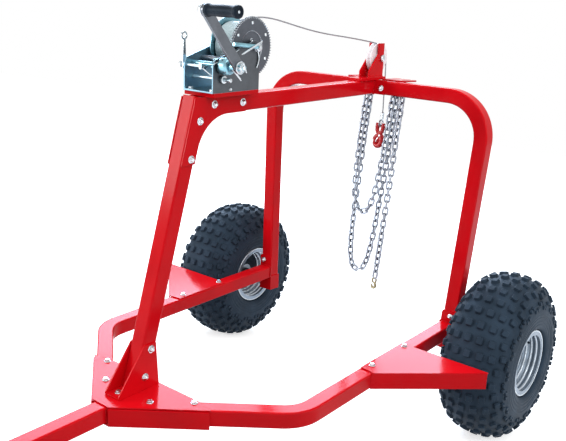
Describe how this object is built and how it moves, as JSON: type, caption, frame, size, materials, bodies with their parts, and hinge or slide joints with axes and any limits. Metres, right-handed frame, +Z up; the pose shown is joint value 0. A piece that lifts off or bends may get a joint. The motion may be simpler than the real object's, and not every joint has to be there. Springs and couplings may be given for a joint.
{
  "type": "log arch trailer with hand winch, for a small off-road vehicle",
  "caption": "Two-wheeled steel log arch with V frame, raking post and boom, geared hand winch, sheave, cable hook and hanging chains.",
  "frame": {"origin": "on the floor at the middle of the outline, on the centre line, parked with the coupling on the floor", "axes": "+X to the right seen from behind looking forward, +Y to the rear, +Z up; the drawbar points along -Y"},
  "size_m": [1.4784, 2.2054, 1.3035],
  "materials": {
    "red_paint": "gloss",
    "zinc_plate": "zinc plated",
    "tyre_rubber": "matt",
    "rim_silver": "silver paint",
    "grip_black": "satin",
    "chain_zinc": "zinc plated",
    "wire_rope": "bright wire",
    "hook_red": "gloss",
    "hook_yellow_zinc": "yellow zinc",
    "sheave_zinc": "zinc plated"
  },
  "bodies": {
    "frame": {"drawbar": "red_paint", "coupling_head": "zinc_plate", "nose_plate": "red_paint", "nose_tray": "red_paint", "post_foot": "red_paint", "post": "red_paint", "boom": "red_paint", "corner_bracket": "red_paint", "arch": "red_paint", "saddle": "red_paint", "sheave_pin": "zinc_plate", "winch_frame": "zinc_plate", "winch_rods": "zinc_plate", "pawl_lever": "zinc_plate", "drum_shaft": "zinc_plate", "winch_cable": "wire_rope", "cable_hook": "hook_red", "chain_small_loop": "chain_zinc", "chain_large_loop": "chain_zinc", "chain_tail": "chain_zinc", "chain_end_hook": "hook_yellow_zinc", "side_beam_left": "red_paint", "leg_socket_left": "red_paint", "stub_axle_left": "zinc_plate", "deflector_left": "red_paint", "chain_plate_left": "red_paint", "side_beam_right": "red_paint", "leg_socket_right": "red_paint", "stub_axle_right": "zinc_plate", "deflector_right": "red_paint", "chain_plate_right": "red_paint"},
    "wheel_left": {"hub_left": "zinc_plate", "rim_left": "rim_silver", "tyre_left": "tyre_rubber"},
    "wheel_right": {"hub_right": "zinc_plate", "rim_right": "rim_silver", "tyre_right": "tyre_rubber"},
    "sheave_wheel": {"sheave": "sheave_zinc"},
    "winch_drum": {"drum": "zinc_plate", "drum_gear": "zinc_plate", "wound_cable": "wire_rope"},
    "crank": {"crank_shaft": "zinc_plate", "crank_arm": "zinc_plate", "crank_grip": "grip_black"},
    "idler": {"idler_gear": "zinc_plate"}
  },
  "joints": [
    {"name": "wheel_left_spin", "type": "hinge", "parent": "frame", "child": "wheel_left", "pos_m": [-0.619, 0.81275, 0.29], "axis": [1, 0, 0], "continuous": true},
    {"name": "wheel_right_spin", "type": "hinge", "parent": "frame", "child": "wheel_right", "pos_m": [0.619, 0.81275, 0.29], "axis": [1, 0, 0], "continuous": true},
    {"name": "sheave_spin", "type": "hinge", "parent": "frame", "child": "sheave_wheel", "pos_m": [0, 0.7033, 1.24892], "axis": [1, 0, 0], "continuous": true},
    {"name": "drum_spin", "type": "hinge", "parent": "frame", "child": "winch_drum", "pos_m": [0, -0.04099, 1.18986], "axis": [1, 0, 0], "continuous": true},
    {"name": "crank_spin", "type": "hinge", "parent": "frame", "child": "crank", "pos_m": [0, -0.17289, 1.12164], "axis": [1, 0, 0], "continuous": true},
    {"name": "idler_spin", "type": "hinge", "parent": "frame", "child": "idler", "pos_m": [0, -0.13692, 1.14024], "axis": [1, 0, 0], "continuous": true}
  ],
  "couplings": [
    {"joint": "crank_spin", "follows": "drum_spin", "ratio": 4.8571},
    {"joint": "idler_spin", "follows": "drum_spin", "ratio": -3.7778}
  ]
}
